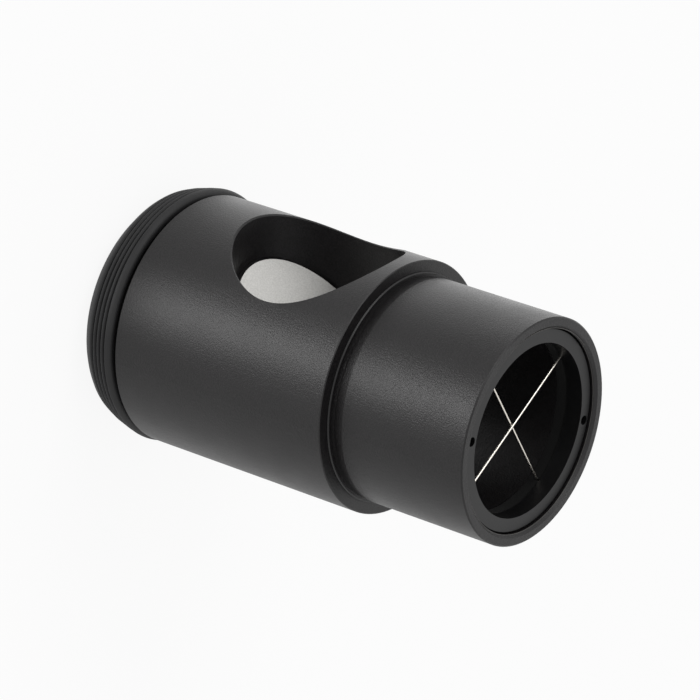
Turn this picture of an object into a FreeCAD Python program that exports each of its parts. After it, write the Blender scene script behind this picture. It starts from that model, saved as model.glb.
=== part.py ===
import FreeCAD, Part
import math
import os
import Sketcher

# Collimating eyepiece with a 2 inch nosepiece: it stands on its eye end, +Z runs up the optical
# axis to the open end of the nosepiece, and the light window faces -Y. Sizes are millimetres.

doc = FreeCAD.newDocument("collimator")
sizes = doc.addObject("Spreadsheet::Sheet", "Sizes")
places = doc.addObject("Spreadsheet::Sheet", "Places")

DRIVING_SIZES = [
    ("body_length", "57.0", "body tube, from its eye end to its shoulder"),
    ("shoulder_step", "3.2", "how far the body stands out beyond the nosepiece"),
    ("body_bore", "18.6", "sight bore of the body tube"),
    ("body_chamfer", "0.2", "outer edge of the shoulder"),
    ("window_radius", "18.8", "round light window through one side"),
    ("window_setback", "22.6", "shoulder to the window's centre"),
    ("window_chamfer", "0.35", "broken edge of the window"),
    ("barrel_length", "35.35", "shoulder to the open end of the nosepiece"),
    ("barrel_radius", "25.4", "half of the 2 inch standard"),
    ("barrel_wall", "5.9", "nosepiece wall at its bore"),
    ("barrel_chamfer", "0.3", "outer edge of the open end"),
    ("collar_step", "0.6", "collar at the nosepiece's root, over its radius"),
    ("collar_height", "0.4", "thickness of that collar outside the body"),
    ("collar_bevel", "0.25", "broken upper edge of the collar"),
    ("relief_depth", "0.4", "relief groove above the collar"),
    ("relief_width", "0.8", "floor of the relief groove"),
    ("relief_run", "2.4", "gentle run-out of the groove's far side"),
    ("spigot_length", "2.5", "how deep the nosepiece screws into the body"),
    ("rim_width", "2.5", "open end of the nosepiece, outside its thread"),
    ("mouth_bevel", "0.6", "bevel that leads into that thread"),
    ("thread_run", "8.0", "depth of the thread in the open end"),
    ("ring_gap", "0.05", "play of the retaining ring in the thread"),
    ("ring_recess", "1.25", "open end to the face of the retaining ring"),
    ("ring_thickness", "3.95", "retaining ring"),
    ("ring_width", "3.43", "retaining ring, across its face"),
    ("ring_chamfer", "0.45", "outer front edge of the retaining ring"),
    ("spanner_hole_radius", "1.05", "two blind holes for a pin spanner"),
    ("spanner_hole_depth", "2.0", "depth of those holes"),
    ("spanner_land", "0.5", "metal between a spanner hole and the opening"),
    ("spanner_angle", "-15", "degrees from +X"),
    ("carrier_width", "3.2", "crosshair carrier, across its face"),
    ("carrier_play", "0.1", "carrier inside the nosepiece"),
    ("wire_radius", "0.225", "crosshair wire"),
    ("wire_spacing", "0.5", "between the two wires, centre to centre"),
    ("wire_seat", "1.5", "how far a wire lies in its groove"),
    ("wire_play", "0.02", "wire in its groove, each side and above"),
    ("wire_angle", "30", "front wire, degrees from +X"),
    ("mirror_setback", "21.8", "shoulder to the slanted face on the axis"),
    ("plug_play", "0.1", "reflector plug in the sight bore"),
    ("plug_flange_thickness", "3.0", "flange that the cap clamps"),
    ("plug_tip_land", "1.0", "flat left at the plug's far tip"),
    ("sight_hole_radius", "3.0", "hole through the reflector plug"),
    ("cap_bore", "24.0", "threaded counterbore in the body's eye end"),
    ("cap_run", "9.0", "depth of that counterbore"),
    ("thread_play", "0.05", "male threads inside female ones"),
    ("neck_length", "10.3", "neck of the eye cap, outside the body"),
    ("cap_recess", "1.5", "eyecup's fold to the face of the cap"),
    ("cap_wall", "3.0", "end wall round the peep hole"),
    ("cap_channel", "4.0", "sight channel inside the cap"),
    ("peep_radius", "1.0", "peep hole"),
    ("skirt_wall", "1.6", "inner skirt of the eyecup"),
    ("fold_gap", "1.0", "between the eyecup's two skirts"),
    ("fold_wall", "2.0", "rubber under the fold"),
    ("foot_width", "1.85", "flat that the eyecup stands on"),
    ("band_wall", "2.7", "outer skirt at its smooth band"),
    ("band_height", "1.65", "smooth band below the lip"),
    ("band_slope", "0.85", "bevel from the band into the first groove"),
    ("lip_gap", "0.7", "lip to the body tube"),
    ("rib_pitch", "1.52", "between rib grooves"),
    ("rib_height", "0.5", "how far a rib stands over its grooves"),
    ("rib_taper", "0.35", "how much smaller each groove is than the last"),
]

for row, (alias, millimetres, note) in enumerate(DRIVING_SIZES, start=1):
    sizes.set(f"A{row}", alias)
    sizes.set(f"B{row}", millimetres)
    sizes.set(f"C{row}", note)
    sizes.setAlias(f"B{row}", alias)
doc.recompute()

worked_out = []


def place(alias, formula):
    """Keep a worked-out radius or height in the second sheet, where several outlines can read it."""
    worked_out.append(alias)
    row = len(worked_out)
    places.set(f"A{row}", alias)
    places.set(f"B{row}", "=" + formula)
    places.setAlias(f"B{row}", alias)


def cell(alias):
    """The expression that reads one named size or place."""
    sheet = "Places" if alias in worked_out else "Sizes"
    return f"{sheet}.{alias}"


def number(alias):
    """The value of one named size or place."""
    sheet = places if alias in worked_out else sizes
    return float(sheet.get(alias))


# Heights, from the eye end upwards.
place("cap_face", "Sizes.cap_recess")
place("body_base", "Places.cap_face + Sizes.neck_length")
place("plug_seat", "Places.body_base + Sizes.cap_run")
place("plug_base", "Places.plug_seat - Sizes.plug_flange_thickness")
place("shoulder", "Places.body_base + Sizes.body_length")
place("spigot_base", "Places.shoulder - Sizes.spigot_length")
place("window_height", "Places.shoulder - Sizes.window_setback")
place("mirror_height", "Places.shoulder - Sizes.mirror_setback")
place("collar_top", "Places.shoulder + Sizes.collar_height")
place("collar_side", "Places.collar_top - Sizes.collar_bevel")
place("relief_top", "Places.collar_top + Sizes.relief_width")
place("relief_end", "Places.relief_top + Sizes.relief_run")
place("open_end", "Places.shoulder + Sizes.barrel_length")
place("mouth_bottom", "Places.open_end - Sizes.mouth_bevel")
place("carrier_seat", "Places.open_end - Sizes.thread_run")
place("ring_face", "Places.open_end - Sizes.ring_recess")
place("carrier_top", "Places.ring_face - Sizes.ring_thickness")

# Radii of what screws, slides or rests in something else.
place("female_thread", "Sizes.barrel_radius - Sizes.rim_width")
place("mouth_radius", "Places.female_thread + Sizes.mouth_bevel")
place("ring_radius", "Places.female_thread - Sizes.ring_gap")
place("ring_opening", "Places.ring_radius - Sizes.ring_width")
place("spanner_circle", "Places.ring_opening + Sizes.spanner_land + Sizes.spanner_hole_radius")
place("carrier_radius", "Places.female_thread - Sizes.carrier_play")
place("carrier_bore", "Places.carrier_radius - Sizes.carrier_width")
place("wire_reach", "Places.carrier_bore + Sizes.wire_seat")
place("barrel_bore", "Sizes.barrel_radius - Sizes.barrel_wall")
place("body_radius", "Sizes.barrel_radius + Sizes.shoulder_step")
place("collar_radius", "Sizes.barrel_radius + Sizes.collar_step")
place("collar_edge", "Places.collar_radius - Sizes.collar_bevel")
place("spigot_hole", "Places.collar_radius + Sizes.thread_play")
place("relief_radius", "Sizes.barrel_radius - Sizes.relief_depth")
place("plug_radius", "Sizes.body_bore - Sizes.plug_play")
place("plug_top", "Places.mirror_height + Places.plug_radius - Sizes.plug_tip_land")
place("cap_thread", "Sizes.cap_bore - Sizes.thread_play")
doc.recompute()


def origin_plane(body, role):
    """One of a body's own origin planes."""
    for feature in body.Origin.OriginFeatures:
        if feature.Role == role:
            return feature


def new_body(name):
    """An empty body whose label names its file."""
    body = doc.addObject("PartDesign::Body", name)
    body.Label = name
    return body


def sketch_on(body, role, name):
    """An empty sketch on one of the body's origin planes."""
    sketch = body.newObject("Sketcher::SketchObject", name)
    sketch.AttachmentSupport = [(origin_plane(body, role), "")]
    sketch.MapMode = "FlatFace"
    return sketch


def pin_down(sketch, edge, across, up):
    """Tie the start of one edge to its two named sizes, measured from the origin."""
    sketch.addConstraint(Sketcher.Constraint("DistanceX", -1, 1, edge, 1, number(across)))
    sketch.setExpression(f"Constraints[{sketch.ConstraintCount - 1}]", cell(across))
    if number(up) == 0:
        sketch.addConstraint(Sketcher.Constraint("PointOnObject", edge, 1, -1))
        return
    sketch.addConstraint(Sketcher.Constraint("DistanceY", -1, 1, edge, 1, number(up)))
    sketch.setExpression(f"Constraints[{sketch.ConstraintCount - 1}]", cell(up))


def draw_outline(sketch, corners):
    """Close an outline of straight edges through its corners, each a radius and a height."""
    points = [FreeCAD.Vector(number(across), number(up), 0) for across, up in corners]
    for index, start in enumerate(points):
        end = points[(index + 1) % len(points)]
        sketch.addGeometry(Part.LineSegment(start, end), False)
    for index, (across, up) in enumerate(corners):
        following = (index + 1) % len(corners)
        sketch.addConstraint(Sketcher.Constraint("Coincident", index, 2, following, 1))
        pin_down(sketch, index, across, up)


def turn(name, corners):
    """A turned piece: its half section, spun round the optical axis."""
    body = new_body(name)
    sketch = sketch_on(body, "XZ_Plane", name + "_section")
    draw_outline(sketch, corners)
    turned = body.newObject("PartDesign::Revolution", name + "_turned")
    turned.Profile = sketch
    turned.ReferenceAxis = (sketch, ["V_Axis"])
    turned.Angle = 360
    doc.recompute()
    return body


def ring_edges(body, across, up):
    """Names of the circular edges round the axis at a named radius and height."""
    names = []
    for index, edge in enumerate(body.Tip.Shape.Edges, start=1):
        curve = edge.Curve
        if not isinstance(curve, Part.Circle):
            continue
        same_size = abs(curve.Radius - number(across)) < 1e-4
        same_height = abs(curve.Center.z - number(up)) < 1e-4
        on_axis = math.hypot(curve.Center.x, curve.Center.y) < 1e-4
        if same_size and same_height and on_axis:
            names.append(f"Edge{index}")
    return names


def chamfer(body, name, edges, size):
    """A chamfer on named edges of a body's last feature."""
    base = body.Tip
    feature = body.newObject("PartDesign::Chamfer", name)
    feature.Base = (base, edges)
    feature.setExpression("Size", cell(size))
    body.Tip = feature
    doc.recompute()


def disc_cutter(body, role, name, centre_across, centre_up, radius):
    """A sketch of one circle, placed and sized by named values."""
    sketch = sketch_on(body, role, name)
    centre = FreeCAD.Vector(0, 0, 0)
    sketch.addGeometry(Part.Circle(centre, FreeCAD.Vector(0, 0, 1), number(radius)), False)
    sketch.addConstraint(Sketcher.Constraint("Radius", 0, number(radius)))
    sketch.setExpression("Constraints[0]", cell(radius))
    for kind, alias in (("DistanceX", centre_across), ("DistanceY", centre_up)):
        if alias is None:
            axis = -2 if kind == "DistanceX" else -1
            sketch.addConstraint(Sketcher.Constraint("PointOnObject", 0, 3, axis))
            continue
        sketch.addConstraint(Sketcher.Constraint(kind, -1, 1, 0, 3, number(alias)))
        sketch.setExpression(f"Constraints[{sketch.ConstraintCount - 1}]", cell(alias))
    return sketch


def must_cut(body, before, what):
    """A cut that points away from the metal removes nothing and says nothing, so it is measured."""
    if body.Tip.Shape.Volume > before - 1e-3:
        raise RuntimeError(what + " removed nothing")


# Body tube: thick wall, sight bore, a counterbore at each end and the light window.
body_tube = turn("body_tube", [
    ("body_bore", "plug_seat"),
    ("cap_bore", "plug_seat"),
    ("cap_bore", "body_base"),
    ("body_radius", "body_base"),
    ("body_radius", "shoulder"),
    ("spigot_hole", "shoulder"),
    ("spigot_hole", "spigot_base"),
    ("body_bore", "spigot_base"),
])
shoulder_rim = ring_edges(body_tube, "body_radius", "shoulder")
chamfer(body_tube, "shoulder_edge", shoulder_rim, "body_chamfer")

window_sketch = disc_cutter(body_tube, "XZ_Plane", "window_circle", None, "window_height",
                            "window_radius")
whole = body_tube.Tip.Shape.Volume
window = body_tube.newObject("PartDesign::Pocket", "window_bore")
window.Profile = window_sketch
window.Type = "ThroughAll"
window.Reversed = True
doc.recompute()
must_cut(body_tube, whole, "the window")


def window_rim(body):
    """The outer edge of the window: the curved edge that lies wholly on the body's outside."""
    names = []
    for index, edge in enumerate(body.Tip.Shape.Edges, start=1):
        if isinstance(edge.Curve, (Part.Circle, Part.Line)):
            continue
        first, last = edge.ParameterRange
        spots = [edge.valueAt(first + (last - first) * step / 7) for step in range(8)]
        if all(abs(math.hypot(spot.x, spot.y) - number("body_radius")) < 1e-3 for spot in spots):
            names.append(f"Edge{index}")
    return names


chamfer(body_tube, "window_edge", window_rim(body_tube), "window_chamfer")

# Nosepiece: a thick tube with a relief groove, whose far side runs out gently. Its root screws into
# the body, and what is left of it outside shows as a thin collar with a broken edge.
nosepiece = turn("nosepiece", [
    ("barrel_bore", "spigot_base"),
    ("collar_radius", "spigot_base"),
    ("collar_radius", "collar_side"),
    ("collar_edge", "collar_top"),
    ("relief_radius", "collar_top"),
    ("relief_radius", "relief_top"),
    ("barrel_radius", "relief_end"),
    ("barrel_radius", "open_end"),
    ("mouth_radius", "open_end"),
    ("female_thread", "mouth_bottom"),
    ("female_thread", "carrier_seat"),
    ("barrel_bore", "carrier_seat"),
])
open_rim = ring_edges(nosepiece, "barrel_radius", "open_end")
chamfer(nosepiece, "open_edge", open_rim, "barrel_chamfer")

# Retaining ring: it screws into the open end and clamps the crosshair carrier. Two blind holes in
# its face take a pin spanner.
retaining_ring = turn("retaining_ring", [
    ("ring_opening", "carrier_top"),
    ("ring_radius", "carrier_top"),
    ("ring_radius", "ring_face"),
    ("ring_opening", "ring_face"),
])
ring_rim = ring_edges(retaining_ring, "ring_radius", "ring_face")
chamfer(retaining_ring, "ring_edge", ring_rim, "ring_chamfer")
spanner_sketch = disc_cutter(retaining_ring, "XY_Plane", "spanner_hole_circle", "spanner_circle", None,
                             "spanner_hole_radius")
spanner_sketch.setExpression("AttachmentOffset.Base.z", "Places.ring_face")
spanner_sketch.setExpression("AttachmentOffset.Rotation.Angle", "Sizes.spanner_angle")
whole = retaining_ring.Tip.Shape.Volume
spanner_hole = retaining_ring.newObject("PartDesign::Pocket", "spanner_hole")
spanner_hole.Profile = spanner_sketch
spanner_hole.setExpression("Length", "Sizes.spanner_hole_depth")
doc.recompute()
must_cut(retaining_ring, whole, "the spanner hole")
whole = retaining_ring.Tip.Shape.Volume
spanner_pair = retaining_ring.newObject("PartDesign::PolarPattern", "spanner_pair")
spanner_pair.Originals = [spanner_hole]
spanner_pair.Axis = (spanner_sketch, ["N_Axis"])
spanner_pair.Angle = 360
spanner_pair.Occurrences = 2
retaining_ring.Tip = spanner_pair
doc.recompute()
must_cut(retaining_ring, whole, "the second spanner hole")

# Crosshair carrier: a plain ring with two grooves milled straight across its front face, the rear
# wire's groove deeper, so that the wires cross without touching.
place("groove_half", "Sizes.wire_radius + Sizes.wire_play")
place("groove_reach", "Places.carrier_radius + Sizes.wire_seat")
place("front_groove_depth", "2 * Sizes.wire_radius + Sizes.wire_play")
place("rear_groove_depth", "Places.front_groove_depth + Sizes.wire_spacing")
place("wire_length", "2 * Places.wire_reach")
place("front_wire_height", "Places.carrier_top - Places.front_groove_depth + Sizes.wire_radius")
place("rear_wire_height", "Places.carrier_top - Places.rear_groove_depth + Sizes.wire_radius")
place("rear_wire_angle", "Sizes.wire_angle + 90")
doc.recompute()
crosshair_carrier = turn("crosshair_carrier", [
    ("carrier_bore", "carrier_seat"),
    ("carrier_radius", "carrier_seat"),
    ("carrier_radius", "carrier_top"),
    ("carrier_bore", "carrier_top"),
])


def mill_groove(body, name, angle, depth):
    """A groove across the whole front face of a body, at a named angle from +X."""
    sketch = sketch_on(body, "XY_Plane", name + "_outline")
    sketch.setExpression("AttachmentOffset.Base.z", "Places.carrier_top")
    sketch.setExpression("AttachmentOffset.Rotation.Angle", cell(angle))
    far, wide = number("groove_reach"), number("groove_half")
    corners = [(-far, -wide), (far, -wide), (far, wide), (-far, wide)]
    for index, (across, up) in enumerate(corners):
        start = FreeCAD.Vector(across, up, 0)
        end = FreeCAD.Vector(*corners[(index + 1) % 4], 0)
        sketch.addGeometry(Part.LineSegment(start, end), False)
    for index in range(4):
        sketch.addConstraint(Sketcher.Constraint("Coincident", index, 2, (index + 1) % 4, 1))
    for index, direction in enumerate(["Horizontal", "Vertical", "Horizontal", "Vertical"]):
        sketch.addConstraint(Sketcher.Constraint(direction, index))
    sketch.addConstraint(Sketcher.Constraint("DistanceX", 0, 1, -1, 1, far))
    sketch.setExpression("Constraints[8]", "Places.groove_reach")
    sketch.addConstraint(Sketcher.Constraint("DistanceY", 0, 1, -1, 1, wide))
    sketch.setExpression("Constraints[9]", "Places.groove_half")
    sketch.addConstraint(Sketcher.Constraint("DistanceX", -1, 1, 2, 1, far))
    sketch.setExpression("Constraints[10]", "Places.groove_reach")
    sketch.addConstraint(Sketcher.Constraint("DistanceY", -1, 1, 2, 1, wide))
    sketch.setExpression("Constraints[11]", "Places.groove_half")
    whole = body.Tip.Shape.Volume
    groove = body.newObject("PartDesign::Pocket", name)
    groove.Profile = sketch
    groove.setExpression("Length", cell(depth))
    doc.recompute()
    must_cut(body, whole, name)


def lay_across(rod, angle, height):
    """Lay a rod across the axis, centred on it, at a named angle from +X and a named height."""
    half = "Places.wire_reach"
    rod.setExpression("Placement.Base.x", f"-{half} * cos({cell(angle)} * 1 deg)")
    rod.setExpression("Placement.Base.y", f"-{half} * sin({cell(angle)} * 1 deg)")
    rod.setExpression("Placement.Base.z", cell(height))
    turn_up = FreeCAD.Rotation(FreeCAD.Vector(0, 0, 1), number(angle))
    lie_down = FreeCAD.Rotation(FreeCAD.Vector(0, 1, 0), 90)
    rod.Placement.Rotation = turn_up * lie_down


# Crosshair wires: each rests on the floor of its groove, and the retaining ring closes it in.
WIRES = [
    ("crosshair_wire_front", "wire_angle", "front_groove_depth", "front_wire_height"),
    ("crosshair_wire_rear", "rear_wire_angle", "rear_groove_depth", "rear_wire_height"),
]
wires = []
for name, angle, depth, height in WIRES:
    mill_groove(crosshair_carrier, name + "_groove", angle, depth)
    wire = doc.addObject("Part::Cylinder", name)
    wire.Label = name
    wire.setExpression("Radius", "Sizes.wire_radius")
    wire.setExpression("Height", "Places.wire_length")
    lay_across(wire, angle, height)
    wires.append(wire)

# Reflector plug: a bare aluminium bar cut off at 45 degrees, with the sight hole along its axis and
# a flange that the eye cap clamps against the body.
place("plug_flange_radius", "Sizes.cap_bore - Sizes.plug_play")
place("slant_reach", "Places.plug_radius + Sizes.plug_flange_thickness")
place("slant_low", "Places.mirror_height - Places.slant_reach")
place("slant_high", "Places.mirror_height + Places.slant_reach")
doc.recompute()
reflector_plug = turn("reflector_plug", [
    ("sight_hole_radius", "plug_base"),
    ("plug_flange_radius", "plug_base"),
    ("plug_flange_radius", "plug_seat"),
    ("plug_radius", "plug_seat"),
    ("plug_radius", "plug_top"),
    ("sight_hole_radius", "plug_top"),
])

slant_sketch = sketch_on(reflector_plug, "YZ_Plane", "slant_section")
window_side_low = FreeCAD.Vector(-number("slant_reach"), number("slant_low"), 0)
far_side_high = FreeCAD.Vector(number("slant_reach"), number("slant_high"), 0)
window_side_high = FreeCAD.Vector(-number("slant_reach"), number("slant_high"), 0)
waste = [window_side_low, far_side_high, window_side_high]
for index, start in enumerate(waste):
    slant_sketch.addGeometry(Part.LineSegment(start, waste[(index + 1) % 3]), False)
for index in range(3):
    slant_sketch.addConstraint(Sketcher.Constraint("Coincident", index, 2, (index + 1) % 3, 1))
slant_sketch.addConstraint(Sketcher.Constraint("Vertical", 2))
slant_sketch.addConstraint(Sketcher.Constraint("Horizontal", 1))
slant_sketch.addConstraint(Sketcher.Constraint("DistanceX", 0, 1, -1, 1, number("slant_reach")))
slant_sketch.setExpression("Constraints[5]", "Places.slant_reach")
slant_sketch.addConstraint(Sketcher.Constraint("DistanceY", -1, 1, 0, 1, number("slant_low")))
slant_sketch.setExpression("Constraints[6]", "Places.slant_low")
slant_sketch.addConstraint(Sketcher.Constraint("DistanceX", -1, 1, 1, 1, number("slant_reach")))
slant_sketch.setExpression("Constraints[7]", "Places.slant_reach")
slant_sketch.addConstraint(Sketcher.Constraint("DistanceY", -1, 1, 1, 1, number("slant_high")))
slant_sketch.setExpression("Constraints[8]", "Places.slant_high")
whole = reflector_plug.Tip.Shape.Volume
slant = reflector_plug.newObject("PartDesign::Pocket", "slanted_face")
slant.Profile = slant_sketch
slant.Type = "ThroughAll"
slant.Midplane = True
doc.recompute()
must_cut(reflector_plug, whole, "the slanted face")

# Eye cap: it screws into the body until its end clamps the plug's flange, and its neck carries the
# eyecup. The eye looks through a small peep hole, and along a wider channel behind it.
place("cap_end_wall", "Places.cap_face + Sizes.cap_wall")
doc.recompute()
eye_cap = turn("eye_cap", [
    ("peep_radius", "cap_face"),
    ("cap_thread", "cap_face"),
    ("cap_thread", "plug_base"),
    ("cap_channel", "plug_base"),
    ("cap_channel", "cap_end_wall"),
    ("peep_radius", "cap_end_wall"),
])

# Eyecup: one moulded rubber cup, worn folded down. An inner skirt grips the cap's neck and rests
# against the body, and the ribbed outer skirt comes back up to a smooth band beside the body.
place("table", "0")
place("skirt_radius", "Places.cap_thread + Sizes.skirt_wall")
place("fold_radius", "Places.skirt_radius + Sizes.fold_gap")
place("band_radius", "Places.fold_radius + Sizes.band_wall")
place("foot_outside", "Places.cap_thread + Sizes.foot_width")
place("lip_top", "Places.body_base - Sizes.lip_gap")
place("band_foot", "Places.lip_top - Sizes.band_height")
place("groove_height_0", "Places.band_foot - Sizes.band_slope")
place("groove_radius_0", "Places.band_radius - Sizes.band_slope")
RIB_GROOVES = 4
for index in range(1, RIB_GROOVES):
    above = index - 1
    place(f"groove_height_{index}", f"Places.groove_height_{above} - Sizes.rib_pitch")
    place(f"groove_radius_{index}", f"Places.groove_radius_{above} - Sizes.rib_taper")
    middle = f"(Places.groove_radius_{above} + Places.groove_radius_{index}) / 2"
    place(f"crest_height_{index}", f"Places.groove_height_{above} - Sizes.rib_pitch / 2")
    place(f"crest_radius_{index}", f"{middle} + Sizes.rib_height")
last = RIB_GROOVES - 1
place("last_crest_height", f"Places.groove_height_{last} - Sizes.rib_pitch / 2")
place("last_crest_radius", f"Places.groove_radius_{last} + Sizes.rib_height / 2")
doc.recompute()

eyecup_outline = [
    ("cap_thread", "table"),
    ("foot_outside", "table"),
    ("last_crest_radius", "last_crest_height"),
    (f"groove_radius_{last}", f"groove_height_{last}"),
]
for index in range(last, 0, -1):
    eyecup_outline.append((f"crest_radius_{index}", f"crest_height_{index}"))
    eyecup_outline.append((f"groove_radius_{index - 1}", f"groove_height_{index - 1}"))
eyecup_outline += [
    ("band_radius", "band_foot"),
    ("band_radius", "lip_top"),
    ("fold_radius", "lip_top"),
    ("fold_radius", "fold_wall"),
    ("skirt_radius", "fold_wall"),
    ("skirt_radius", "body_base"),
    ("cap_thread", "body_base"),
]
rubber_eyecup = turn("rubber_eyecup", eyecup_outline)

pieces = [body_tube, nosepiece, retaining_ring, crosshair_carrier, reflector_plug, eye_cap, rubber_eyecup]
pieces += wires
doc.recompute()
for item in doc.Objects:
    if "Invalid" in item.State or "Error" in item.State:
        raise RuntimeError(item.Name + " failed: " + str(item.State))
os.makedirs("parts", exist_ok=True)
for piece in pieces:
    if piece.Shape.isNull() or not piece.Shape.isValid():
        raise RuntimeError(piece.Label + " has no valid shape")
    piece.Shape.exportStep(f"parts/{piece.Label}.step")
    print(piece.Label, len(piece.Shape.Solids), "solid,", round(piece.Shape.Volume / 1000, 2), "cm3")
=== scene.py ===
import math

import bpy
from mathutils import Matrix, Vector


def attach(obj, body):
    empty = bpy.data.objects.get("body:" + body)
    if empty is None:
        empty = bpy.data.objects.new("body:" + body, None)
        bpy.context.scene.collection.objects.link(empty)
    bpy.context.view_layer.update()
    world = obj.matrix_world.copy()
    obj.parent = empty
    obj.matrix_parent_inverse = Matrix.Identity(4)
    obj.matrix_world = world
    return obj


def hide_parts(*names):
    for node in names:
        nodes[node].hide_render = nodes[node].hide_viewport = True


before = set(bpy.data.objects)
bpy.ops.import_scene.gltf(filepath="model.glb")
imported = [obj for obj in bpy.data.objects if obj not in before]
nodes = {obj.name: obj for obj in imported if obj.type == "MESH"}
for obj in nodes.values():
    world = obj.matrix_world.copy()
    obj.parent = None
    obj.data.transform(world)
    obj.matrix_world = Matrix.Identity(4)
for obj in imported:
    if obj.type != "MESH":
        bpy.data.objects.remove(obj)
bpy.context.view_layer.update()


# ---- Camera -------------------------------------------------------------------------------------
# The view of the photograph: from beside and above the open end, with a long lens, and rolled so
# that the tube, which stands on its eye end here, lies from the upper left to the lower right.
STANDPOINT = (0.6829, -0.4204, 0.59294)
TO_RIGHT = (-0.61774, 0.00340, 0.78638)
TO_TOP = (-0.34094, -0.90227, -0.26392)
TO_BACK = (0.70863, -0.43114, 0.55853)

lens = bpy.data.cameras.new("camera")
lens.sensor_width = 36.0
lens.lens = 227.66
lens.clip_start = 0.05
lens.clip_end = 20.0
camera = bpy.data.objects.new("camera", lens)
facing = Matrix((TO_RIGHT, TO_TOP, TO_BACK)).transposed().to_4x4()
camera.matrix_world = Matrix.Translation(STANDPOINT) @ facing
bpy.context.scene.collection.objects.link(camera)
bpy.context.scene.camera = camera


# ---- Body tube ----------------------------------------------------------------------------------
# A thick aluminium tube with a round light window bored through one side. It is bead blasted and
# then anodised black, which gives a satin black with a very fine grain and a faint warm tint.
def linear(hex_colour):
    """A colour written in sRGB hex, as the linear values that shaders take."""
    channels = [int(hex_colour[i:i + 2], 16) / 255 for i in (1, 3, 5)]
    return [c / 12.92 if c <= 0.04045 else ((c + 0.055) / 1.055) ** 2.4 for c in channels] + [1.0]


def add(tree, kind, inputs=None, **settings):
    """Add one node to a tree with its settings, and fill or link the inputs that are named."""
    made = tree.nodes.new(kind)
    for name, value in settings.items():
        setattr(made, name, value)
    for name, value in (inputs or {}).items():
        if isinstance(value, bpy.types.NodeSocket):
            tree.links.new(value, made.inputs[name])
        else:
            made.inputs[name].default_value = value
    return made


def new_material(name):
    """An empty material and its tree."""
    material = bpy.data.materials.new(name)
    material.use_nodes = True
    material.node_tree.nodes.clear()
    return material, material.node_tree


def per_metre(millimetres):
    """The texture scale that makes a pattern's detail this large."""
    return 1000.0 / millimetres


def shade(ramp, stops):
    """Set the two ends of a colour ramp, each to a position and an sRGB hex colour."""
    for end, (position, hex_colour) in zip(ramp.color_ramp.elements, stops):
        end.position = position
        end.color = linear(hex_colour)


def dress(node_name, material):
    """Give a CAD node its finish."""
    nodes[node_name].data.materials.clear()
    nodes[node_name].data.materials.append(material)


# Pattern sizes are in millimetres. Blasting beads of 0.1 mm leave dimples of about that size. They
# are drawn at 0.35 mm, because smaller ones don't show at this distance. The gloss also varies a
# little, over patches of about a centimetre.
BLAST_GRAIN = 0.35
SATIN_PATCHES = 9.0

blasted_black, tree = new_material("bead_blasted_black_anodised_aluminium")
where = add(tree, "ShaderNodeTexCoord")
grain = add(tree, "ShaderNodeTexNoise", {
    "Vector": where.outputs["Object"],
    "Scale": per_metre(BLAST_GRAIN),
    "Detail": 2.0,
    "Roughness": 0.6,
})
patches = add(tree, "ShaderNodeTexNoise", {
    "Vector": where.outputs["Object"],
    "Scale": per_metre(SATIN_PATCHES),
    "Detail": 3.0,
})
satin = add(tree, "ShaderNodeMapRange", {
    "Value": patches.outputs["Fac"],
    "From Min": 0.3,
    "From Max": 0.7,
    "To Min": 0.40,
    "To Max": 0.44,
})
dimples = add(tree, "ShaderNodeBump", {
    "Height": grain.outputs["Fac"],
    "Strength": 0.8,
    "Distance": 0.0001,
})
tint = add(tree, "ShaderNodeValToRGB", {"Fac": grain.outputs["Fac"]})
shade(tint, [(0.35, "#030203"), (0.65, "#141213")])
surface = add(tree, "ShaderNodeBsdfPrincipled", {
    "Base Color": tint.outputs["Color"],
    "Metallic": 0.0,
    "Roughness": satin.outputs["Result"],
    "IOR": 1.43,
    "Normal": dimples.outputs["Normal"],
})
add(tree, "ShaderNodeOutputMaterial", {"Surface": surface.outputs["BSDF"]})

dress("body_tube", blasted_black)


# ---- Reflector plug -----------------------------------------------------------------------------
# An aluminium bar cut off at 45 degrees under the window, which throws the light along the tube.
# The bar is black like the body. Its slanted face was cut afterwards, bead blasted and left bare,
# so that face is a pale, matte, slightly warm grey.
bare_aluminium, tree = new_material("bead_blasted_bare_aluminium")
where = add(tree, "ShaderNodeTexCoord")
grain = add(tree, "ShaderNodeTexNoise", {
    "Vector": where.outputs["Object"],
    "Scale": per_metre(BLAST_GRAIN),
    "Detail": 2.0,
    "Roughness": 0.6,
})
tint = add(tree, "ShaderNodeValToRGB", {"Fac": grain.outputs["Fac"]})
shade(tint, [(0.3, "#c6c5c2"), (0.7, "#d8d7d4")])
dimples = add(tree, "ShaderNodeBump", {
    "Height": grain.outputs["Fac"],
    "Strength": 0.4,
    "Distance": 0.00003,
})
surface = add(tree, "ShaderNodeBsdfPrincipled", {
    "Base Color": tint.outputs["Color"],
    "Metallic": 1.0,
    "Roughness": 0.6,
    "Normal": dimples.outputs["Normal"],
})
add(tree, "ShaderNodeOutputMaterial", {"Surface": surface.outputs["BSDF"]})

# The first material slot is the slanted face's, and the second is for the rest of the bar.
SLANT = Vector((0.0, -1.0, 1.0)).normalized()
SAME_DIRECTION = 0.999

dress("reflector_plug", bare_aluminium)
nodes["reflector_plug"].data.materials.append(blasted_black)
for face in nodes["reflector_plug"].data.polygons:
    face.material_index = 0 if face.normal.dot(SLANT) > SAME_DIRECTION else 1


# ---- Eye cap ------------------------------------------------------------------------------------
# The end cap with the peep hole, turned from aluminium, blasted and anodised like the body. It
# screws into the body, and its neck fills the eyecup.
dress("eye_cap", blasted_black)


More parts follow.
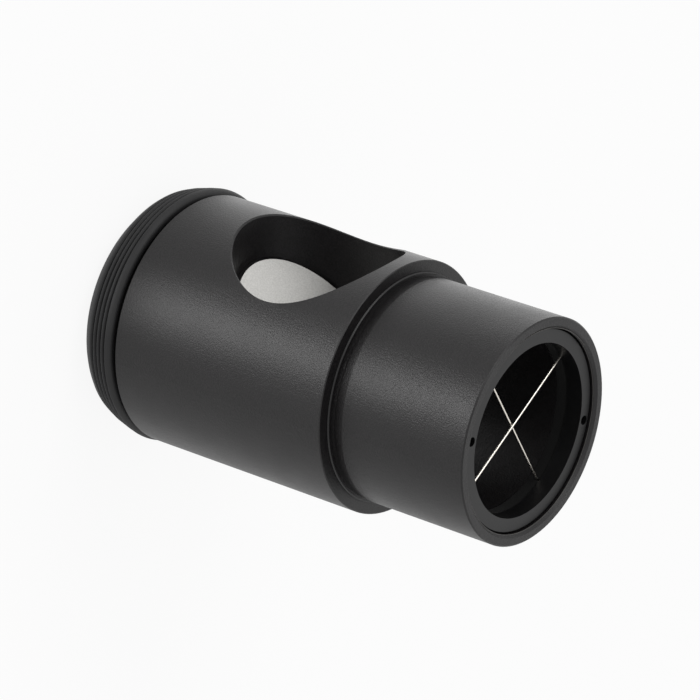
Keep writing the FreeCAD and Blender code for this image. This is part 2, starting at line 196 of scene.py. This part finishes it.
# ---- Eyecup -------------------------------------------------------------------------------------
# One moulded rubber cup, worn folded down over itself. Its smooth lip lies beside the body, and
# four grooves run round the outer skirt below it. Moulded rubber is a dull, soft-edged black.
NECK = 0.02395
NECK_TOP = 0.0118
INNER_SKIRT = 0.02555
OUTER_SKIRT = 0.02655
FOOT_OUTSIDE = 0.0246
LIP_TOP = 0.0105
BAND_RADIUS = 0.02925
FIRST_GROOVE = 0.00854
RIB_PITCH = 0.00141
RIB_GROOVES = 4
GROOVE_DEPTH = 0.0009
GROOVE_SHARPNESS = 2.0
SKIRT_OFFSET = 0.00035

# The tree moves only what lies further out than MOVED_FROM, so the skirt's inside keeps its place,
# and its sideways shift fades out below FOOT_HEIGHT, so the foot does too.
MOVED_FROM = 0.0269
FOOT_HEIGHT = 0.003

OUTLINE_STEP = 0.00008
STEPS_AROUND = 256

# Outline of the folded cup without its grooves, from the foot, up the outside and down inside.
outside = [
    (FOOT_OUTSIDE, 0.0),
    (0.0254, 0.0006),
    (0.0262, 0.0014),
    (0.0270, 0.0024),
    (0.0275, 0.0032),
    (0.0280, 0.0044),
    (0.0284, 0.0056),
    (0.0287, 0.0070),
    (0.0290, 0.0080),
    (0.0292, 0.0087),
    (BAND_RADIUS, 0.0091),
    (0.0292, 0.00942),
    (0.02905, 0.00976),
    (0.0288, 0.01006),
    (0.0285, 0.01029),
    (0.02814, 0.01044),
    (0.02775, LIP_TOP),
]
inside = [
    (0.0272, 0.01045),
    (0.0267, 0.0101),
    (OUTER_SKIRT, 0.0060),
    (OUTER_SKIRT, 0.0022),
    (INNER_SKIRT, 0.0020),
    (INNER_SKIRT, NECK_TOP),
    (NECK, NECK_TOP),
    (NECK, 0.0),
]


def finely(points, step):
    """The same line with points no further apart than the step."""
    made = []
    for start, end in zip(points, points[1:]):
        run = math.dist(start, end)
        count = max(1, math.ceil(run / step))
        for part in range(count):
            share = part / count
            made.append(tuple(a + (b - a) * share for a, b in zip(start, end)))
    return made + [points[-1]]


def spin(name, outline, around):
    """A closed mesh made by turning a closed outline of radii and heights round the axis."""
    corners, faces = [], []
    for turn in range(around):
        angle = 2 * math.pi * turn / around
        for across, up in outline:
            corners.append((across * math.cos(angle), across * math.sin(angle), up))
    count = len(outline)
    for turn in range(around):
        here, there = turn * count, (turn + 1) % around * count
        for index in range(count):
            after = (index + 1) % count
            faces.append((here + index, there + index, there + after, here + after))
    mesh = bpy.data.meshes.new(name)
    mesh.from_pydata(corners, [], faces)
    mesh.update()
    made = bpy.data.objects.new(name, mesh)
    bpy.context.scene.collection.objects.link(made)
    return made


def new_tree(name, inputs):
    """A Geometry Nodes tree with these inputs, and the value of each by its identifier."""
    tree = bpy.data.node_groups.new(name, "GeometryNodeTree")
    tree.interface.new_socket("Geometry", in_out="INPUT", socket_type="NodeSocketGeometry")
    tree.interface.new_socket("Geometry", in_out="OUTPUT", socket_type="NodeSocketGeometry")
    values = {}
    for label, kind, value in inputs:
        socket = tree.interface.new_socket(label, in_out="INPUT", socket_type=kind)
        values[socket.identifier] = value
    return tree, values


def grow(piece, tree, values):
    """Run a Geometry Nodes tree on a piece with these values, and keep the result as its mesh."""
    modifier = piece.modifiers.new(tree.name, "NODES")
    modifier.node_group = tree
    for identifier, value in values.items():
        modifier[identifier] = value
    graph = bpy.context.evaluated_depsgraph_get()
    result = bpy.data.meshes.new_from_object(piece.evaluated_get(graph))
    piece.modifiers.clear()
    piece.data = result


# The mould's surface leaves a skin with detail of about 0.1 mm. It is drawn at 0.35 mm, so that it
# shows. A faint bloom makes some patches a little greyer.
RUBBER_SKIN = 0.35
RUBBER_BLOOM = 7.0

moulded_rubber, tree = new_material("moulded_black_rubber")
where = add(tree, "ShaderNodeTexCoord")
skin = add(tree, "ShaderNodeTexNoise", {
    "Vector": where.outputs["Object"],
    "Scale": per_metre(RUBBER_SKIN),
    "Detail": 3.0,
})
bloom = add(tree, "ShaderNodeTexNoise", {
    "Vector": where.outputs["Object"],
    "Scale": per_metre(RUBBER_BLOOM),
    "Detail": 2.0,
})
tint = add(tree, "ShaderNodeValToRGB", {"Fac": bloom.outputs["Fac"]})
shade(tint, [(0.3, "#131314"), (0.7, "#1b1b1c")])
pores = add(tree, "ShaderNodeBump", {
    "Height": skin.outputs["Fac"],
    "Strength": 0.4,
    "Distance": 0.00004,
})
surface = add(tree, "ShaderNodeBsdfPrincipled", {
    "Base Color": tint.outputs["Color"],
    "Roughness": 0.6,
    "IOR": 1.44,
    "Normal": pores.outputs["Normal"],
})
add(tree, "ShaderNodeOutputMaterial", {"Surface": surface.outputs["BSDF"]})

eyecup = spin("eyecup_folded", finely(outside, OUTLINE_STEP) + inside, STEPS_AROUND)

# The grooves are pressed in by a tree: at each height it works out how far the nearest groove is,
# and moves the outer skirt towards the axis there. It also lets that skirt hang off centre.
ribbing, values = new_tree("ribbing", [
    ("First Groove Height", "NodeSocketFloat", FIRST_GROOVE),
    ("Rib Pitch", "NodeSocketFloat", RIB_PITCH),
    ("Groove Count", "NodeSocketInt", RIB_GROOVES),
    ("Groove Depth", "NodeSocketFloat", GROOVE_DEPTH),
    ("Inner Radius", "NodeSocketFloat", MOVED_FROM),
    ("Offset", "NodeSocketFloat", SKIRT_OFFSET),
    ("Material", "NodeSocketMaterial", moulded_rubber),
])
given = add(ribbing, "NodeGroupInput")
place = add(ribbing, "GeometryNodeInputPosition")
along = add(ribbing, "ShaderNodeSeparateXYZ", {"Vector": place.outputs["Position"]})
flat = add(ribbing, "ShaderNodeCombineXYZ", {"X": along.outputs["X"], "Y": along.outputs["Y"]})
reach = add(ribbing, "ShaderNodeVectorMath", {0: flat.outputs["Vector"]}, operation="LENGTH")
outwards = add(ribbing, "ShaderNodeVectorMath", {0: flat.outputs["Vector"]}, operation="NORMALIZE")
below = add(ribbing, "ShaderNodeMath", {
    0: given.outputs["First Groove Height"],
    1: along.outputs["Z"],
}, operation="SUBTRACT")
steps = add(ribbing, "ShaderNodeMath", {
    0: below.outputs["Value"],
    1: given.outputs["Rib Pitch"],
}, operation="DIVIDE")
nearest = add(ribbing, "ShaderNodeMath", {0: steps.outputs["Value"]}, operation="ROUND")
last = add(ribbing, "ShaderNodeMath", {
    0: given.outputs["Groove Count"],
    1: 1.0,
}, operation="SUBTRACT")
groove = add(ribbing, "ShaderNodeMath", {
    0: nearest.outputs["Value"],
    1: last.outputs["Value"],
}, operation="MINIMUM")
groove_kept = add(ribbing, "ShaderNodeMath", {
    0: groove.outputs["Value"],
    1: 0.0,
}, operation="MAXIMUM")
apart = add(ribbing, "ShaderNodeMath", {
    0: steps.outputs["Value"],
    1: groove_kept.outputs["Value"],
}, operation="SUBTRACT")
distance = add(ribbing, "ShaderNodeMath", {0: apart.outputs["Value"]}, operation="ABSOLUTE")
near = add(ribbing, "ShaderNodeMapRange", {
    "Value": distance.outputs["Value"],
    "From Min": 0.0,
    "From Max": 0.5,
    "To Min": 1.0,
    "To Max": 0.0,
})
cusp = add(ribbing, "ShaderNodeMath", {
    0: near.outputs["Result"],
    1: GROOVE_SHARPNESS,
}, operation="POWER")
depth = add(ribbing, "ShaderNodeMath", {
    0: cusp.outputs["Value"],
    1: given.outputs["Groove Depth"],
}, operation="MULTIPLY")
inwards = add(ribbing, "ShaderNodeMath", {0: depth.outputs["Value"], 1: -1.0}, operation="MULTIPLY")
press = add(ribbing, "ShaderNodeVectorMath", {
    0: outwards.outputs["Vector"],
    "Scale": inwards.outputs["Value"],
}, operation="SCALE")
outer_skirt = add(ribbing, "FunctionNodeCompare", {
    0: reach.outputs["Value"],
    1: given.outputs["Inner Radius"],
}, operation="GREATER_THAN")
above_foot = add(ribbing, "ShaderNodeMapRange", {
    "Value": along.outputs["Z"],
    "From Min": 0.0,
    "From Max": FOOT_HEIGHT,
    "To Min": 0.0,
    "To Max": 1.0,
})
hang = add(ribbing, "ShaderNodeMath", {
    0: above_foot.outputs["Result"],
    1: given.outputs["Offset"],
}, operation="MULTIPLY")
hang_back = add(ribbing, "ShaderNodeMath", {
    0: hang.outputs["Value"],
    1: -1.0,
}, operation="MULTIPLY")
sideways = add(ribbing, "ShaderNodeCombineXYZ", {"Y": hang_back.outputs["Value"]})
moved = add(ribbing, "ShaderNodeVectorMath", {
    0: press.outputs["Vector"],
    1: sideways.outputs["Vector"],
}, operation="ADD")
pressed = add(ribbing, "GeometryNodeSetPosition", {
    "Geometry": given.outputs["Geometry"],
    "Selection": outer_skirt.outputs["Result"],
    "Offset": moved.outputs["Vector"],
})
realized = add(ribbing, "GeometryNodeRealizeInstances", {"Geometry": pressed.outputs["Geometry"]})
finished = add(ribbing, "GeometryNodeSetMaterial", {
    "Geometry": realized.outputs["Geometry"],
    "Material": given.outputs["Material"],
})
add(ribbing, "NodeGroupOutput", {"Geometry": finished.outputs["Geometry"]})

grow(eyecup, ribbing, values)
for face in eyecup.data.polygons:
    face.use_smooth = True
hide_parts("rubber_eyecup")
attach(eyecup, "root")


# ---- Nosepiece ----------------------------------------------------------------------------------
# The 2 inch barrel, turned with a thin collar and a relief groove at its root, then blasted and
# anodised like the body. The first turns of the thread in its mouth show above the retaining ring.
dress("nosepiece", blasted_black)

# The thread's turns are coloured a lighter, warm brown-grey than the black around them, in random
# patches. The lighter colour is a painted highlight that stands in for the glint along the turns.
THREAD_GLINT_PATCHES = 2.0

thread_glint_paint, tree = new_material("thread_painted_glint")
where = add(tree, "ShaderNodeTexCoord")
glint_patches = add(tree, "ShaderNodeTexNoise", {
    "Vector": where.outputs["Object"],
    "Scale": per_metre(THREAD_GLINT_PATCHES),
    "Detail": 3.0,
})
# Painted highlight: the lighter brown-grey stands in for the glint along the thread's turns.
tint = add(tree, "ShaderNodeValToRGB", {"Fac": glint_patches.outputs["Fac"]})
shade(tint, [(0.3, "#2c2a29"), (0.7, "#3b3937")])
surface = add(tree, "ShaderNodeBsdfPrincipled", {
    "Base Color": tint.outputs["Color"],
    "Roughness": 0.4,
    "IOR": 1.5,
})
add(tree, "ShaderNodeOutputMaterial", {"Surface": surface.outputs["BSDF"]})

THREAD_ROOT = 0.0229
THREAD_HEIGHT = 0.00015
THREAD_PITCH = 0.00047
THREAD_FOOT = 0.10310
THREAD_TURNS = 1.4
STEPS_IN_A_TURN = 160
RIDGE_SIDES = 4

# The tree draws the thread as one ridge, a small ring of four sides carried up a helix.
threading, values = new_tree("threading", [
    ("Root Radius", "NodeSocketFloat", THREAD_ROOT),
    ("Height", "NodeSocketFloat", THREAD_HEIGHT),
    ("Pitch", "NodeSocketFloat", THREAD_PITCH),
    ("Turns", "NodeSocketFloat", THREAD_TURNS),
    ("Foot", "NodeSocketFloat", THREAD_FOOT),
    ("Material", "NodeSocketMaterial", thread_glint_paint),
])
given = add(threading, "NodeGroupInput")
climb = add(threading, "ShaderNodeMath", {
    0: given.outputs["Pitch"],
    1: given.outputs["Turns"],
}, operation="MULTIPLY")
helix = add(threading, "GeometryNodeCurveSpiral", {
    "Resolution": STEPS_IN_A_TURN,
    "Rotations": given.outputs["Turns"],
    "Start Radius": given.outputs["Root Radius"],
    "End Radius": given.outputs["Root Radius"],
    "Height": climb.outputs["Value"],
})
upright = add(threading, "GeometryNodeSetCurveNormal", {
    "Curve": helix.outputs["Curve"],
}, mode="Z_UP")
ridge = add(threading, "GeometryNodeCurvePrimitiveCircle", {
    "Resolution": RIDGE_SIDES,
    "Radius": given.outputs["Height"],
})
thread = add(threading, "GeometryNodeCurveToMesh", {
    "Curve": upright.outputs["Curve"],
    "Profile Curve": ridge.outputs["Curve"],
    "Fill Caps": True,
})
lift = add(threading, "ShaderNodeCombineXYZ", {"Z": given.outputs["Foot"]})
lifted = add(threading, "GeometryNodeTransform", {
    "Geometry": thread.outputs["Mesh"],
    "Translation": lift.outputs["Vector"],
})
realized = add(threading, "GeometryNodeRealizeInstances", {"Geometry": lifted.outputs["Geometry"]})
finished = add(threading, "GeometryNodeSetMaterial", {
    "Geometry": realized.outputs["Geometry"],
    "Material": given.outputs["Material"],
})
add(threading, "NodeGroupOutput", {"Geometry": finished.outputs["Geometry"]})

mouth_thread = bpy.data.objects.new("mouth_thread", bpy.data.meshes.new("mouth_thread"))
bpy.context.scene.collection.objects.link(mouth_thread)
grow(mouth_thread, threading, values)
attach(mouth_thread, "root")


# ---- Crosshair carrier --------------------------------------------------------------------------
# A plain ring that holds the wires' ends. It is turned and anodised a dull black, and lies in the
# dark behind the retaining ring.

# A fine cut leaves marks of less than 0.1 mm. They are drawn as a faint grain of 0.35 mm, because
# finer ones don't show.
TURNED_GRAIN = 0.35

dull_black, tree = new_material("turned_dull_black_anodised_aluminium")
where = add(tree, "ShaderNodeTexCoord")
grain = add(tree, "ShaderNodeTexNoise", {
    "Vector": where.outputs["Object"],
    "Scale": per_metre(TURNED_GRAIN),
    "Detail": 2.0,
})
dimples = add(tree, "ShaderNodeBump", {
    "Height": grain.outputs["Fac"],
    "Strength": 0.3,
    "Distance": 0.00002,
})
surface = add(tree, "ShaderNodeBsdfPrincipled", {
    "Base Color": linear("#020202"),
    "Roughness": 0.9,
    "IOR": 1.4,
    "Normal": dimples.outputs["Normal"],
})
add(tree, "ShaderNodeOutputMaterial", {"Surface": surface.outputs["BSDF"]})

dress("crosshair_carrier", dull_black)


# ---- Crosshair wires ----------------------------------------------------------------------------
# Two straight lengths of steel wire, drawn through a die, which cross on the axis without touching.
# Drawing leaves them bright, with an uneven shine.

# The die's marks are finer than 0.1 mm. They are drawn at 0.4 mm, so that they show.
DRAW_MARKS = 0.4

drawn_steel, tree = new_material("bright_drawn_steel_wire")
where = add(tree, "ShaderNodeTexCoord")
draw_marks = add(tree, "ShaderNodeTexNoise", {
    "Vector": where.outputs["Object"],
    "Scale": per_metre(DRAW_MARKS),
    "Detail": 1.0,
})
shine = add(tree, "ShaderNodeMapRange", {
    "Value": draw_marks.outputs["Fac"],
    "From Min": 0.3,
    "From Max": 0.7,
    "To Min": 0.2,
    "To Max": 0.35,
})
surface = add(tree, "ShaderNodeBsdfPrincipled", {
    "Base Color": linear("#e2ddd4"),
    "Metallic": 1.0,
    "Roughness": shine.outputs["Result"],
})
add(tree, "ShaderNodeOutputMaterial", {"Surface": surface.outputs["BSDF"]})

dress("crosshair_wire_front", drawn_steel)
dress("crosshair_wire_rear", drawn_steel)


# ---- Retaining ring -----------------------------------------------------------------------------
# The flat ring inside the open end, with two blind holes for a pin spanner. It is turned and then
# anodised black, so its face is a little smoother than the blasted pieces.
turned_black, tree = new_material("turned_black_anodised_aluminium")
where = add(tree, "ShaderNodeTexCoord")
grain = add(tree, "ShaderNodeTexNoise", {
    "Vector": where.outputs["Object"],
    "Scale": per_metre(TURNED_GRAIN),
    "Detail": 2.0,
})
dimples = add(tree, "ShaderNodeBump", {
    "Height": grain.outputs["Fac"],
    "Strength": 0.2,
    "Distance": 0.00002,
})
surface = add(tree, "ShaderNodeBsdfPrincipled", {
    "Base Color": linear("#050506"),
    "Roughness": 0.42,
    "IOR": 1.42,
    "Normal": dimples.outputs["Normal"],
})
add(tree, "ShaderNodeOutputMaterial", {"Surface": surface.outputs["BSDF"]})

dress("retaining_ring", turned_black)


# ---- Floor and light ----------------------------------------------------------------------------
# A pale floor that reads as white paper and keeps the object's soft shadow, a white room whose
# light comes from all sides, and the few soft lamps that draw the tube's round form.
FLOOR_REACH = 4
ROOM_LIGHT = 0.7

# Nine tenths of what is seen of the floor is plain white, and the rest is lit paper, which keeps
# the shadow.
FLOOR_WHITE = 0.9


def seen_directly(tree):
    """A value of 1 for a ray that shows a surface: from the camera, mirrored or through glass."""
    path = add(tree, "ShaderNodeLightPath")
    seen = add(tree, "ShaderNodeMath", {
        0: path.outputs["Is Camera Ray"],
        1: path.outputs["Is Glossy Ray"],
    }, operation="MAXIMUM")
    seen_through = add(tree, "ShaderNodeMath", {
        0: seen.outputs["Value"],
        1: path.outputs["Is Transmission Ray"],
    }, operation="MAXIMUM")
    return seen_through.outputs["Value"]


paper, tree = new_material("white_paper")
share = add(tree, "ShaderNodeMath", {
    0: seen_directly(tree),
    1: FLOOR_WHITE,
}, operation="MULTIPLY")
sheet = add(tree, "ShaderNodeBsdfDiffuse", {"Color": linear("#f3f3f3")})
glow = add(tree, "ShaderNodeEmission", {"Color": linear("#ffffff"), "Strength": 1.0})
blend = add(tree, "ShaderNodeMixShader", {
    "Fac": share.outputs["Value"],
    1: sheet.outputs["BSDF"],
    2: glow.outputs["Emission"],
})
add(tree, "ShaderNodeOutputMaterial", {"Surface": blend.outputs["Shader"]})

floor_mesh = bpy.data.meshes.new("floor")
floor_mesh.from_pydata([
    (-FLOOR_REACH, -FLOOR_REACH, 0),
    (FLOOR_REACH, -FLOOR_REACH, 0),
    (FLOOR_REACH, FLOOR_REACH, 0),
    (-FLOOR_REACH, FLOOR_REACH, 0),
], [], [(0, 1, 2, 3)])
floor_mesh.materials.append(paper)
floor = bpy.data.objects.new("floor", floor_mesh)
bpy.context.scene.collection.objects.link(floor)

room = bpy.data.worlds.new("room")
room.use_nodes = True
room.node_tree.nodes.clear()
tree = room.node_tree
strength = add(tree, "ShaderNodeMapRange", {
    "Value": seen_directly(tree),
    "From Min": 0.0,
    "From Max": 1.0,
    "To Min": ROOM_LIGHT,
    "To Max": 1.0,
})
walls = add(tree, "ShaderNodeBackground", {
    "Color": linear("#ffffff"),
    "Strength": strength.outputs["Result"],
})
add(tree, "ShaderNodeOutputWorld", {"Surface": walls.outputs["Background"]})
bpy.context.scene.world = room


def area_lamp(name, wide, tall, power, place):
    """A rectangular lamp that shines along its own -Z, and that the camera doesn't see."""
    lamp = bpy.data.lights.new(name, "AREA")
    lamp.shape = "RECTANGLE"
    lamp.size = wide
    lamp.size_y = tall
    lamp.energy = power
    box = bpy.data.objects.new(name, lamp)
    box.matrix_world = place
    box.visible_camera = False
    bpy.context.scene.collection.objects.link(box)


# A soft box above the window side catches the broken edges that face it.
BOX_PLACE = Vector((-0.06, -0.68, 0.78))
BOX_AIM = Vector((0.0, 0.0, 0.06))
BOX_SIDE = 0.4
BOX_POWER = 2.2

turned = (BOX_AIM - BOX_PLACE).to_track_quat("-Z", "Y").to_matrix().to_4x4()
area_lamp("window_side_box", BOX_SIDE, BOX_SIDE, BOX_POWER, Matrix.Translation(BOX_PLACE) @ turned)

# Light panels lie on the floor. Two in a line give the narrow band of light that runs along the
# tube, the nearer one narrower, so that the band keeps its width. Two broad, weak ones on the
# window side give the sheen along that edge. Each has its direction from the tube in degrees, the
# distances where it starts and ends, its width in metres and its power in watts.
PANEL_HEIGHT = 0.0015
PANELS = [
    ("near_floor_panel", -32.0, 0.05, 0.14, 0.028, 0.036),
    ("far_floor_panel", -32.0, 0.14, 0.38, 0.06, 0.41),
    ("near_side_floor_panel", -150.0, 0.035, 0.11, 0.14, 0.025),
    ("far_side_floor_panel", -150.0, 0.11, 0.45, 0.24, 0.22),
]

for name, azimuth, start, end, width, power in PANELS:
    turned = Matrix.Rotation(math.radians(azimuth), 4, "Z")
    middle = turned @ Vector(((start + end) / 2, 0.0, PANEL_HEIGHT))
    face_up = Matrix.Translation(middle) @ turned @ Matrix.Rotation(math.pi, 4, "X")
    area_lamp(name, end - start, width, power, face_up)

bpy.context.scene.view_settings.view_transform = "Standard"
